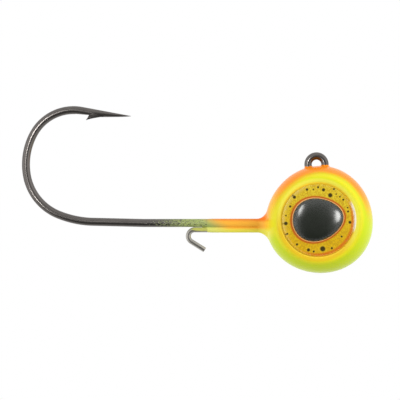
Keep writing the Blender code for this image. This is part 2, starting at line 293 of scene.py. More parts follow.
def ring_paint_distance(x, y, z):
    """Return the distance to the paint that climbs the feet of the line-tie ring."""
    tube = np.hypot(np.hypot(x, z) - RING_RADIUS, y) - RING_WIRE_RADIUS
    wander = 0.07 * np.sin(5.0 * y + 3.0 * x) + 0.05 * np.sin(9.0 * x - 2.0)
    above = np.maximum(z - RING_PAINT_TOP - RING_PAINT_LEAN * x - wander, 0.0)
    return np.maximum(tube - RING_PAINT + RING_PAINT_FADE * above, above - RING_PAINT_REACH)


def socket_distance(x, y, z, eye):
    """Return the distance to the space of both eye sockets: a flat floor and a flared wall."""
    depth = np.abs(y) - SOCKET_FLOOR
    wall = (np.hypot(x - eye.x, z - eye.z) - SOCKET_RADIUS - depth) * math.sqrt(0.5)
    return round_overlap(wall, -depth, SOCKET_FOOT_ROUND)


def head_distance(x, y, z):
    """Return the distance to the painted surface of the ball, the neck and the sleeves."""
    shank = sleeve_distance(x, y, z, SHANK_Z, HOOK_RADIUS)
    keeper = sleeve_distance(x, y, z, KEEPER_Z, KEEPER_RADIUS)
    sleeves = round_union(shank, keeper, GROOVE_FILL)
    head = round_union(ball_distance(x, y, z), sleeves, NECK_FILLET)
    head = round_union(head, ring_paint_distance(x, y, z), RING_MENISCUS)
    return round_overlap(head, -socket_distance(x, y, z, EYE), SOCKET_LIP_ROUND)


def lead_distance(x, y, z):
    """Return the distance to the cast lead, which lies under the paint and ends at the neck."""
    return np.maximum(head_distance(x, y, z) + PAINT, NECK_END_X - x)


def project(points, distance, rounds):
    """Move points onto the zero level of a distance field."""
    small = 1e-3
    for _ in range(rounds):
        value = distance(*points.T)
        slope = np.empty_like(points)
        for axis in range(3):
            ahead, behind = points.copy(), points.copy()
            ahead[:, axis] += small
            behind[:, axis] -= small
            slope[:, axis] = (distance(*ahead.T) - distance(*behind.T)) / (2.0 * small)
        steep = np.maximum((slope ** 2).sum(axis=1), 0.25)
        points = points - slope * (value / steep)[:, None]
    return points


def mesh_of_field(distance, cell):
    """Mesh a distance field's zero level: a vertex in each cell and a quad at each edge that it crosses."""
    low, high = FIELD_BOX
    axes = [np.arange(low[axis], high[axis] + cell, cell) for axis in range(3)]
    inside = distance(*np.meshgrid(*axes, indexing="ij", sparse=True)) < 0.0

    filled = np.zeros([size - 1 for size in inside.shape], int)
    for corner in np.ndindex(2, 2, 2):
        window = tuple(slice(start, start + size) for start, size in zip(corner, filled.shape))
        filled += inside[window]
    cells = np.argwhere((filled > 0) & (filled < 8))
    number = np.full(filled.shape, -1)
    number[tuple(cells.T)] = np.arange(len(cells))
    points = np.array(low) + (cells + 0.5) * cell

    quads = []
    for axis in range(3):
        second, third = (axis + 1) % 3, (axis + 2) % 3
        near = [slice(None)] * 3
        far = [slice(None)] * 3
        near[axis], far[axis] = slice(None, -1), slice(1, None)
        crossing = np.argwhere(inside[tuple(near)] != inside[tuple(far)])
        leaving = inside[tuple(crossing.T)]
        corners = []
        for second_step, third_step in ((1, 1), (0, 1), (0, 0), (1, 0)):
            around = crossing.copy()
            around[:, second] -= second_step
            around[:, third] -= third_step
            corners.append(number[tuple(around.T)])
        quad = np.stack(corners, axis=1)
        quad[~leaving] = quad[~leaving][:, ::-1]
        quads.append(quad)
    quads = np.concatenate(quads)

    points = project(points, distance, 3)
    for _ in range(HEAD_RELAX):
        total = np.zeros_like(points)
        count = np.zeros(len(points))
        middle = points[quads].mean(axis=1)
        for corner in range(4):
            np.add.at(total, quads[:, corner], middle)
            np.add.at(count, quads[:, corner], 1.0)
        points = project(total / count[:, None], distance, 1)
    return project(points, distance, 2), quads.tolist()


# --- wires -------------------------------------------------------------------

def lay_wire(start, heading, moves):
    """Follow runs and turns in the XZ plane, from a start point and a heading in degrees.

    A move is ("run", length) or ("turn", radius, degrees), where a positive
    turn goes left. Returns stations of (point, forward, left, distance).
    """
    point = Vector(start)
    angle = math.radians(heading)
    distance = 0.0
    stations = []

    def note():
        forward = Vector((math.cos(angle), 0.0, math.sin(angle)))
        left = Vector((-math.sin(angle), 0.0, math.cos(angle)))
        if not stations or distance - stations[-1][3] > 1e-6:
            stations.append((point.copy(), forward, left, distance))
        return forward, left

    for move in moves:
        if move[0] == "run":
            forward, _ = note()
            point = point + forward * move[1]
            distance += move[1]
            note()
            continue
        radius, degrees = move[1:]
        steps = max(1, math.ceil(abs(degrees) / ARC_STEP))
        part_turn = math.radians(degrees) / steps
        side = math.copysign(1.0, degrees)
        for _ in range(steps):
            _, left = note()
            centre = point + left * radius * side
            angle += part_turn
            left_after = Vector((-math.sin(angle), 0.0, math.cos(angle)))
            point = centre - left_after * radius * side
            distance += radius * abs(part_turn)
        note()
    return stations


def hook_stations():
    """Return the hook's route: ring, riser, corner, shank, bend and point."""
    shoulder_drop = math.sqrt(RING_RADIUS ** 2 + 2.0 * RING_RADIUS * RING_SHOULDER_RADIUS)
    shoulder_turn = math.degrees(math.atan2(shoulder_drop, RING_SHOULDER_RADIUS))
    cut = math.radians(RING_CUT_ANGLE)
    start = (RING_RADIUS * math.cos(cut), 0.0, RING_RADIUS * math.sin(cut))
    moves = [("turn", RING_RADIUS, 180.0 + shoulder_turn - RING_CUT_ANGLE),
             ("turn", RING_SHOULDER_RADIUS, -shoulder_turn),
             ("run", -SHANK_Z - SHANK_CORNER_RADIUS - shoulder_drop),
             ("turn", SHANK_CORNER_RADIUS, -90.0),
             ("run", -BEND_START_X - SHANK_CORNER_RADIUS)]
    moves += [("turn", radius, -degrees) for radius, degrees in BEND_ARCS]
    moves.append(("run", POINT_RUN - POINT_TAPER))
    moves += [("run", POINT_TAPER / POINT_TAPER_STEPS)] * POINT_TAPER_STEPS
    return lay_wire(start, RING_CUT_ANGLE + 90.0, moves)


def hook_rings(stations):
    """Return the hook's sections: thinner in the ring, and tapered to the point's upper edge."""
    length = stations[-1][3]
    ring_length = RING_RADIUS * math.radians(270.0 - RING_CUT_ANGLE)
    rings = []
    for point, _, left, distance in stations:
        to_tip = length - distance
        past_ring = min(max((distance - ring_length) / RISER_TAPER, 0.0), 1.0)
        radius = RING_WIRE_RADIUS + (HOOK_RADIUS - RING_WIRE_RADIUS) * past_ring
        shift = 0.0
        if to_tip < POINT_TAPER:
            share = max(to_tip / POINT_TAPER, 0.0) ** POINT_TAPER_POWER
            radius = POINT_TIP_RADIUS + (HOOK_RADIUS - POINT_TIP_RADIUS) * share
            shift = HOOK_RADIUS - radius
        rings.append(ring_round(point + left * shift, left, ACROSS, radius, radius, HOOK_SIDES))
    return rings


def point_frame(stations):
    """Return a function that places (distance along the point run, height, side) in the frame."""
    tip, forward, left, _ = stations[-1]
    start = tip - forward * POINT_RUN
    return lambda along, height, side=0.0: start + forward * along + left * height + ACROSS * side


def point_prism(place, outline, sides):
    """Return a prism across the hook's point, between two distances from its plane."""
    return stitch([[place(along, height, side) for along, height in outline] for side in sides])


def barb_shape(place):
    """Return the raised sliver: a sharp tip, a steep back face, and a belly that meets the wire."""
    tip, heel, root = BARB_TIP, BARB_HEEL, BARB_ROOT
    rings = [[place(*tip)]]
    for step in range(1, BARB_RINGS + 1):
        share = step / BARB_RINGS
        along = tip[0] + (root[0] - tip[0]) * share ** BARB_SPACING_POWER
        progress = (along - tip[0]) / (root[0] - tip[0])
        bottom = tip[1] + (root[1] - tip[1]) * progress ** BARB_BELLY_POWER
        back = min((along - tip[0]) / (heel[0] - tip[0]), 1.0)
        top = tip[1] + (heel[1] - tip[1]) * back + BARB_TOP_RISE * progress
        half_width = BARB_HALF_WIDTH * progress ** BARB_WIDTH_POWER
        middle, half_height = 0.5 * (top + bottom), 0.5 * (top - bottom)
        rings.append([place(along, middle + half_height * math.cos(angle), half_width * math.sin(angle))
                      for angle in np.linspace(0.0, math.tau, BARB_SIDES, endpoint=False)])
    return stitch(rings)


def build_hook(material):
    """Build the hook with its cut barb."""
    stations = hook_stations()
    hook = make_piece("hook_wire", *stitch(hook_rings(stations)), material, "hook_wire")
    place = point_frame(stations)
    across = (-CUT_HALF_WIDTH, CUT_HALF_WIDTH)
    combine(hook, "DIFFERENCE", *point_prism(place, SCOOP_OUTLINE, across))
    for sides in ((DENT_DEPTH, CUT_HALF_WIDTH), (-CUT_HALF_WIDTH, -DENT_DEPTH)):
        combine(hook, "DIFFERENCE", *point_prism(place, DENT_OUTLINE, sides))
    combine(hook, "DIFFERENCE", *point_prism(place, SLIT_OUTLINE, across))
    combine(hook, "UNION", *barb_shape(place))
    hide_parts("hook")
    return hook


def build_keeper(material):
    """Build the bait keeper, with a slightly broken edge at its cut end."""
    turn = math.radians(KEEPER_ANCHOR_TURN)
    forward = Vector((-math.cos(turn), 0.0, math.sin(turn)))
    left = Vector((-forward.z, 0.0, forward.x))
    corner = Vector((KEEPER_ANCHOR_X, 0.0, KEEPER_Z))
    centre = corner - Vector((0.0, 0.0, KEEPER_BEND_RADIUS))
    start = centre - left * KEEPER_BEND_RADIUS - forward * KEEPER_ANCHOR_LENGTH
    stations = lay_wire(start, 180.0 - KEEPER_ANCHOR_TURN,
                        [("run", KEEPER_ANCHOR_LENGTH),
                         ("turn", KEEPER_BEND_RADIUS, KEEPER_ANCHOR_TURN),
                         ("run", KEEPER_ANCHOR_X - KEEPER_BEND_X),
                         ("turn", KEEPER_BEND_RADIUS, KEEPER_BEND_TURN),
                         ("run", KEEPER_LEG - KEEPER_END_BEVEL)])
    rings = [ring_round(point, side, ACROSS, KEEPER_RADIUS, KEEPER_RADIUS, KEEPER_SIDES)
             for point, _, side, _ in stations]
    point, forward, side, _ = stations[-1]
    for share in (0.5, 1.0):
        radius = KEEPER_RADIUS - KEEPER_END_BEVEL * share ** 2
        rings.append(ring_round(point + forward * KEEPER_END_BEVEL * math.sqrt(share), side, ACROSS,
                                radius, radius, KEEPER_SIDES))
    keeper = make_piece("bait_keeper", *stitch(rings), material, "keeper_wire")
    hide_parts("keeper_wire")
    return keeper


# --- eyes --------------------------------------------------------------------

def eye_point(side, height, x, z):
    """Return a point of one eye, from its place on the foil and its height above it."""
    return EYE + Vector((x, side * (FOIL_TOP + height), z))


def circle_ring(side, height, radius):
    """Return a round ring of one eye."""
    return [eye_point(side, height, radius * math.cos(angle), radius * math.sin(angle))
            for angle in EYE_ANGLES]


def egg_ring(side, height, share, grow=0.0):
    """Return a ring of the pupil's egg outline, shrunk towards its centre by a share."""
    ring = []
    for angle in EYE_ANGLES:
        x = (PUPIL_HALF_LENGTH + grow) * math.cos(angle)
        z = (PUPIL_HALF_HEIGHT + grow) * math.sin(angle) * (1.0 - PUPIL_TAPER * math.cos(angle))
        z += PUPIL_LIFT * ((1.0 + math.cos(angle)) / 2.0) ** PUPIL_LIFT_POWER
        ring.append(eye_point(side, height, x * share, z * share))
    return ring


def between(first, second, share):
    """Return a ring part of the way from one ring to another."""
    return [a.lerp(b, share) for a, b in zip(first, second)]


def build_iris(label, side, material):
    """Build the printed foil disc, with a cut edge."""
    rings = [circle_ring(side, -FOIL_THICKNESS, IRIS_RADIUS - FOIL_BEVEL),
             circle_ring(side, -FOIL_BEVEL, IRIS_RADIUS)]
    rings += [circle_ring(side, 0.0, IRIS_RADIUS * share) for share in (0.996, 0.75, 0.5, 0.25)]
    rings.append([eye_point(side, 0.0, 0.0, 0.0)])
    points, faces = stitch(rings)
    iris = make_piece(f"{label}_iris_foil", points, outward(faces, side), material, "eye_iris")
    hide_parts(f"{label}_eye_iris")
    return iris


def build_pupil(label, side, material):
    """Build the domed pupil on its egg outline."""
    rings = [egg_ring(side, 0.0, 1.0)]
    for step in range(PUPIL_STEPS):
        angle = math.radians(90.0) * step / PUPIL_STEPS
        height = PUPIL_WALL + (PUPIL_HEIGHT - PUPIL_WALL) * math.sin(angle)
        rings.append(egg_ring(side, height, math.cos(angle)))
    rings.append([eye_point(side, PUPIL_HEIGHT, 0.0, 0.0)])
    points, faces = stitch(rings)
    pupil = make_piece(f"{label}_pupil_dome", points, outward(faces, side), material, "eye_pupil")
    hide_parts(f"{label}_eye_pupil")
    return pupil


def build_lens(label, side, material):
    """Build the clear resin: a rounded rim, a flat ring over the iris, and a dome over the pupil.

    Shadow, diffuse and glossy rays pass it by, so that the lights reach the foil and the pupil's gloss.
    """
    base = -LENS_SINK
    rings = [circle_ring(side, base, IRIS_RADIUS), circle_ring(side, base + LENS_FLARE, LENS_RADIUS)]
    for step in range(1, LENS_EDGE_STEPS + 1):
        angle = math.radians(90.0) * step / LENS_EDGE_STEPS
        radius = LENS_RADIUS - LENS_EDGE * (1.0 - math.cos(angle))
        height = base + LENS_FLARE + (LENS_FLAT - LENS_FLARE) * math.sin(angle)
        rings.append(circle_ring(side, height, radius))
    flat = base + LENS_FLAT
    flat_edge = circle_ring(side, flat, LENS_RADIUS - LENS_EDGE)
    foot = egg_ring(side, flat, 1.0, 3.0 * LENS_FOOT_ROUND)
    rings += [between(flat_edge, foot, share) for share in (0.5, 1.0)]
    rings.append(egg_ring(side, flat + 0.3 * LENS_FOOT_ROUND, 1.0, 2.0 * LENS_FOOT_ROUND))
    for step in range(1, LENS_DOME_STEPS):
        angle = math.radians(90.0) * step / LENS_DOME_STEPS
        height = flat + (LENS_TOP - LENS_FLAT) * math.sin(angle)
        rings.append(egg_ring(side, height, math.cos(angle), LENS_FOOT_ROUND))
    rings.append([eye_point(side, base + LENS_TOP, 0.0, 0.0)])
    points, faces = stitch(rings)
    lens = make_piece(f"{label}_clear_lens", points, outward(faces, side), material, "eye_lens")
    for rays in ("visible_shadow", "visible_diffuse", "visible_glossy"):
        setattr(lens, rays, False)
    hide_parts(f"{label}_eye_lens")
    return lens


def outward(faces, side):
    """Turn faces over on the side where their rings run the other way round."""
    return faces if side < 0.0 else [tuple(reversed(face)) for face in faces]


# --- materials ---------------------------------------------------------------

def srgb(red, green, blue):
    """Return a linear colour from 8-bit screen values."""
    shares = [value / 255.0 for value in (red, green, blue)]
    return tuple(share / 12.92 if share <= 0.04045 else ((share + 0.055) / 1.055) ** 2.4
                 for share in shares)


class Value:
    """A number or colour that flows between nodes, with arithmetic that adds Math nodes."""

    def __init__(self, graph, socket):
        self.graph = graph
        self.socket = socket

    def __add__(self, other):
        return self.graph.math("ADD", self, other)

    def __sub__(self, other):
        return self.graph.math("SUBTRACT", self, other)

    def __rsub__(self, other):
        return self.graph.math("SUBTRACT", other, self)

    def __mul__(self, other):
        return self.graph.math("MULTIPLY", self, other)

    def __truediv__(self, other):
        return self.graph.math("DIVIDE", self, other)

    def __pow__(self, other):
        return self.graph.math("POWER", self, other)

    __radd__ = __add__
    __rmul__ = __mul__


class Graph:
    """The node tree of a material or world, written as formulas."""

    def __init__(self, owner):
        owner.use_nodes = True
        self.owner = owner
        self.tree = owner.node_tree

    def feed(self, socket, value):
        """Link a value to a socket, or set the socket to a constant."""
        if isinstance(value, Value):
            self.tree.links.new(value.socket, socket)
        elif isinstance(value, tuple) and len(value) == 3 and len(socket.default_value) == 4:
            socket.default_value = (*value, 1.0)
        else:
            socket.default_value = value

    def node(self, kind, inputs, output=0, **settings):
        """Add a node with its settings and inputs, and return one of its outputs."""
        node = self.tree.nodes.new(kind)
        for name, setting in settings.items():
            setattr(node, name, setting)
        for key, value in inputs.items():
            self.feed(node.inputs[key], value)
        return Value(self, node.outputs[output])

    def math(self, operation, *values, clamp=False):
        """Add a Math node."""
        return self.node("ShaderNodeMath", dict(enumerate(values)), operation=operation, use_clamp=clamp)

    def ramp(self, low, high, value):
        """Return 0 to 1, smoothly, as a value goes from low to high."""
        return self.node("ShaderNodeMapRange", {"Value": value, "From Min": low, "From Max": high},
                         interpolation_type="SMOOTHSTEP")

    def band(self, middle, half_width, value):
        """Return 1 where a value is at the middle of a band, and 0 outside it."""
        return 1.0 - self.ramp(0.0, half_width, self.math("ABSOLUTE", value - middle))

    def span(self, low, high, fade, value):
        """Return 1 where a value is from low to high, fading to 0 outside them."""
        return self.ramp(low - fade, low, value) * self.ramp(high + fade, high, value)

    def blend(self, share, first, second):
        """Mix two colours."""
        return self.node("ShaderNodeMix", {0: share, 6: first, 7: second}, output=2, data_type="RGBA")

    def place(self):
        """Return the point on the surface in millimetres, as a vector and as x, y and z."""
        point = self.node("ShaderNodeTexCoord", {}, output="Object")
        scaled = self.node("ShaderNodeVectorMath", {0: point, 3: 1.0 / MM}, operation="SCALE")
        parts = self.tree.nodes.new("ShaderNodeSeparateXYZ")
        self.tree.links.new(scaled.socket, parts.inputs[0])
        return (scaled, *(Value(self, parts.outputs[axis]) for axis in range(3)))

    def stretch(self, vector, scales, turn):
        """Scale a vector along each axis after turning it about Y."""
        turned = self.node("ShaderNodeVectorRotate", {"Vector": vector, "Angle": turn},
                           rotation_type="Y_AXIS")
        return self.node("ShaderNodeVectorMath", {0: turned, 1: scales}, operation="MULTIPLY")

    def noise(self, vector, scale, detail=2.0):
        """Return fractal noise from 0 to 1, with features of about 1 / scale."""
        return self.node("ShaderNodeTexNoise", {"Vector": vector, "Scale": scale, "Detail": detail})

    def bump(self, height, depth):
        """Return a normal from a height from 0 to 1 and its depth in millimetres."""
        return self.node("ShaderNodeBump", {"Height": height, "Distance": depth * MM, "Strength": 1.0})

    def finish(self, **inputs):
        """Set the inputs of a material's shader and return the material."""
        shader = self.tree.nodes["Principled BSDF"]
        for name, value in inputs.items():
            self.feed(shader.inputs[name.replace("_", " ").title().replace("Ior", "IOR")], value)
        return self.owner


def new_finish(name):
    """Start a material."""
    return Graph(bpy.data.materials.new(name))


WHITE = (1.0, 1.0, 1.0)
CHARTREUSE = srgb(196, 213, 22)
# Painted light round the eye sockets: lip highlight (also the rear's own yellow paint), lightened wall and
# foot, foil reflection, white highlight.
REAR_YELLOW_AND_LIP_HIGHLIGHT = srgb(224, 216, 40)
WALL_LIGHTENED_YELLOW = srgb(236, 227, 78)
WALL_GOLD_REFLECTION = srgb(228, 191, 40)
FOOT_LIGHTENED_YELLOW = srgb(248, 213, 60)
GLEAM_HIGHLIGHT_WHITE = srgb(255, 252, 240)
CROWN_ORANGE = srgb(247, 140, 8)
SLEEVE_YELLOW = srgb(234, 224, 82)
SLEEVE_ORANGE = srgb(252, 182, 64)
SLEEVE_TOP = srgb(228, 134, 50)
NECK_ORANGE = srgb(250, 120, 18)
THIN_PAINT = srgb(162, 176, 104)
# Painted light: the keeper's thin paint is lighter, to make up for the shank's shade on it.
KEEPER_PAINT_LIGHTENED = srgb(220, 221, 116)
OLD_OVERSPRAY = srgb(106, 116, 78)

# Where the paint's colours blend, as (from, to). On the ball these are the height above its centre, the
# distance from the XZ plane and the distance forward of its centre. Round an eye they are the distance from
# its centre, the height above it, and the share of the distance that points forward.
CROWN_HEIGHT = (-1.0, 5.6)
CROWN_ASIDE = (4.8, 3.3)
CROWN_REAR_ASIDE = (5.25, 3.3)
CROWN_REAR = (0.5, -4.5)
SOCKET_SIDE = (4.0, 4.6)
LIP_RADIUS = 6.75
LIP_HALF_WIDTH = 0.7
WALL_EDGE = (6.75, 6.25)
WALL_LOWER = (0.5, -4.5)
FOOT_EDGE = (6.05, 5.9)
GLEAM_SPREAD = (0.9, 0.975)

# Along the neck and the wires, and at the line-tie ring and the barb, they are places in X and in Z.
YELLOW_REAR_X = (-5.8, -7.0)
YELLOW_REAR_Z = (-12.0, -10.5)
SLEEVE_X = (-6.8, -8.4)
NECK_X = (-10.4, -8.6)
NECK_Z = (-9.2, -8.4)
SLEEVE_Z = (-10.5, -9.8)
SLEEVE_TOP_Z = (-9.15, -8.6)
FULL_PAINT_X = (-17.9, -13.9)
FULL_PAINT_Z = -9.2
THIN_KEEPER_Z = (-9.75, -10.0)
OVERSPRAY_X = (-33.0, -17.5)
OVERSPRAY_END_X = (-32.5, -29.0)
OVERSPRAY_AGE_X = (-19.0, -26.0)
OVERSPRAY_Z = (-8.0, -8.6)
KEEPER_SPRAY_X = (-21.2, -18.0)
KEEPER_SPRAY_Z = (-10.8, -10.2)
RING_FOOT_Z = (0.6, -1.2)
NEAR_RING_X = (-4.0, -3.0)
NEAR_RING_Z = (-3.0, -2.0)
BARB_X = (-36.8, -33.6)
BARB_Z = (5.7, 7.75)
BARB_FADE = 0.2


def crown_share(graph, x, y, z, wander, grain):
    """Return how much orange the ball has: a stripe over its top, wider and fainter towards the neck."""
    across, up = x - BALL_CENTRE.x, z - BALL_CENTRE.z
    aside = graph.math("ABSOLUTE", y) + 0.6 * wander + 0.3 * grain
    rear = graph.ramp(*CROWN_REAR, across)
    spine = graph.ramp(*CROWN_ASIDE, aside)
    spine = spine + rear * (graph.ramp(*CROWN_REAR_ASIDE, aside) - spine)
    height = up + 0.05 * graph.math("ABSOLUTE", across) - 0.8 * rear + 1.2 * wander + 0.8 * grain
    return graph.ramp(*CROWN_HEIGHT, height) * spine


def eye_socket_painted_light(graph, colour, x, y, z, wander):
    """Blend in painted light round the eye sockets: a lip highlight, a lightened wall and foot, a painted
    reflection of the foil low on the wall, and a painted highlight ahead of the eye.
    """
    eye_x, eye_z = x - EYE.x, z - EYE.z
    from_eye = graph.math("SQRT", eye_x * eye_x + eye_z * eye_z)
    outside = graph.ramp(*SOCKET_SIDE, graph.math("ABSOLUTE", y))
    # Painted highlight: a yellow band along the socket's lip.
    lip = graph.band(LIP_RADIUS, LIP_HALF_WIDTH, from_eye - 0.03 * eye_z + 0.3 * wander) * outside
    # Painted light: the wall is lightened against the recess's shade, with a painted reflection of the gold
    # foil low down.
    wall = graph.ramp(*WALL_EDGE, from_eye + 0.2 * wander) * outside
    lower = graph.ramp(*WALL_LOWER, eye_z + 0.35 * eye_x)
    forward = (eye_x + 0.1 * eye_z) / graph.math("MAXIMUM", from_eye, 0.1)
    # Painted light: the wall's foot is lightened, and ahead of the eye it carries a painted white highlight.
    foot = graph.ramp(*FOOT_EDGE, from_eye) * outside
    gleam = foot * graph.ramp(*GLEAM_SPREAD, forward)
    colour = graph.blend(lip, colour, REAR_YELLOW_AND_LIP_HIGHLIGHT)
    colour = graph.blend(wall, colour, graph.blend(lower, WALL_LIGHTENED_YELLOW, WALL_GOLD_REFLECTION))
    colour = graph.blend(foot, colour, FOOT_LIGHTENED_YELLOW)
    return graph.blend(gleam, colour, GLEAM_HIGHLIGHT_WHITE)


def paint_colour(graph, point, x, y, z):
    """Return the sprayed paint's colour.

    The ball is chartreuse with an orange crown, and round each eye it has painted light: a yellow lip
    highlight, a lightened wall and foot, a painted reflection of the foil and a painted highlight. The sleeve
    is orange above and yellow below, and thins to a green overspray at its end, lightened on the keeper as
    painted light.
    """
    wander = graph.noise(point, 0.35) - 0.5
    grain = graph.noise(point, 9.0, 3.0) - 0.5
    yellow = graph.ramp(*YELLOW_REAR_X, x) * graph.ramp(*YELLOW_REAR_Z, z)
    ball = graph.blend(yellow, CHARTREUSE, REAR_YELLOW_AND_LIP_HIGHLIGHT)
    ball = eye_socket_painted_light(graph, ball, x, y, z, wander)
    ball = graph.blend(crown_share(graph, x, y, z, wander, grain), ball, CROWN_ORANGE)

    sleeve = graph.blend(graph.ramp(*SLEEVE_Z, z + 0.2 * grain), SLEEVE_YELLOW, SLEEVE_ORANGE)
    sleeve = graph.blend(graph.ramp(*SLEEVE_TOP_Z, z), sleeve, SLEEVE_TOP)
    full = x + 1.6 * graph.math("MAXIMUM", z - FULL_PAINT_Z, -0.6) + 1.2 * grain
    # Painted light: the thin paint is lighter on the keeper, where the shank shades it.
    thin = graph.blend(graph.ramp(*THIN_KEEPER_Z, z), THIN_PAINT, KEEPER_PAINT_LIGHTENED)
    sleeve = graph.blend(graph.ramp(*FULL_PAINT_X, full), thin, sleeve)
    sleeve = graph.blend(graph.ramp(*NECK_X, x) * graph.ramp(*NECK_Z, z), sleeve, NECK_ORANGE)
    return graph.blend(graph.ramp(*SLEEVE_X, x), ball, sleeve)


def head_paint():
    """Glossy cured paint with a faint orange peel."""
    graph = new_finish("head_paint")
    point, x, y, z = graph.place()
    peel = graph.noise(point, 1.6, 3.0)
    return graph.finish(base_color=paint_colour(graph, point, x, y, z),
                        roughness=0.16 + 0.12 * graph.noise(point, 3.0),
                        normal=graph.bump(peel, 0.012),
                        specular_ior_level=0.08)


def hook_metal():
    """Black nickel, rougher at the barb and darkened there as painted shade, with overspray on the shank and
    the ring's feet.
    """
    graph = new_finish("hook_metal")
    point, x, y, z = graph.place()
    speck = graph.noise(point, 8.0, 3.0)
    along = graph.ramp(*OVERSPRAY_X, x) * graph.ramp(*OVERSPRAY_Z, z)
    mist = graph.ramp(0.02, -0.02, speck - 0.22 - 0.35 * along) * graph.ramp(*OVERSPRAY_END_X, x)
    feet = graph.ramp(*RING_FOOT_Z, z) * graph.ramp(*NEAR_RING_X, x) * graph.ramp(*NEAR_RING_Z, z)
    feet = graph.ramp(0.5, 0.62, feet + 0.5 * (speck - 0.5))
    cover = graph.math("MAXIMUM", 0.95 * mist, feet)

    paint = paint_colour(graph, point, x, y, z)
    paint = graph.blend(graph.ramp(*OVERSPRAY_AGE_X, x) * 0.7, paint, OLD_OVERSPRAY)
    tarnish = graph.noise(point, 0.8, 4.0)
    metal = graph.blend(tarnish, srgb(112, 108, 104), srgb(92, 88, 86))
    # Painted shade: the barb's zone is darkened, as well as made rougher.
    cut = graph.span(*BARB_X, BARB_FADE, x) * graph.span(*BARB_Z, BARB_FADE, z)
    metal = graph.blend(cut, metal, srgb(64, 61, 59))
    return graph.finish(base_color=graph.blend(cover, metal, paint), metallic=1.0 - cover,
                        roughness=0.24 + 0.02 * tarnish + 0.2 * cover + 0.2 * cut,
                        normal=graph.bump(cover, 0.005), specular_ior_level=0.12)


def keeper_metal():
    """Drawn stainless wire, with lines along its leg and paint where it leaves the sleeve."""
    graph = new_finish("keeper_metal")
    point, x, y, z = graph.place()
    lines = graph.noise(graph.stretch(point, (0.6, 12.0, 12.0), math.radians(-32.0)), 1.0, 3.0)
    speck = graph.noise(point, 5.0, 3.0)
    spray = graph.ramp(*KEEPER_SPRAY_X, x) * graph.ramp(*KEEPER_SPRAY_Z, z)
    cover = graph.ramp(0.3, 0.6, spray + 0.5 * speck - 0.3)
    metal = graph.blend(lines, srgb(152, 148, 140), srgb(190, 187, 180))
    return graph.finish(base_color=graph.blend(cover, metal, paint_colour(graph, point, x, y, z)),
                        metallic=1.0 - cover, roughness=0.28 + 0.15 * lines,
                        normal=graph.bump(lines, 0.01), specular_ior_level=0.12)


# Spots of the iris, as (angle in degrees, distance from the eye's centre, radius).
SPOTS = ((136, 5.15, 0.22), (154, 4.86, 0.16), (110, 5.08, 0.17), (99, 4.83, 0.11), (90, 5.12, 0.14),
         (80, 4.80, 0.22), (64, 4.31, 0.30), (63, 5.42, 0.14), (55, 4.94, 0.09), (47, 4.97, 0.11),
         (39, 5.06, 0.14), (23, 4.99, 0.11), (16, 4.86, 0.14), (-4, 4.97, 0.20), (-35, 4.49, 0.14),
         (-64, 4.89, 0.16), (-81, 4.54, 0.36), (-98, 4.95, 0.14), (-108, 4.90, 0.22), (-131, 5.03, 0.16),
         (-156, 5.26, 0.13), (-174, 5.07, 0.25), (172, 5.07, 0.11))

# Rings of the iris, as (from, to): distances from the eye's centre, or forward or back of it, and for the two
# rings round the pupil, distances outside its edge.
FOIL_RIM = (5.3, 5.6)
FOIL_RIM_FORWARD = (-0.3, 4.2)
FOIL_EDGE = (5.5, 5.62)
FOIL_GLEAM = (5.4, 5.6)
FOIL_GLEAM_X = (5.0, 5.5)
FOIL_REFLECTION = (4.9, 5.4)
FOIL_REFLECTION_REAR = (2.6, 5.2)
PUPIL_RING = (0.62, 0.34)
PUPIL_LINE = (0.24, 0.16)


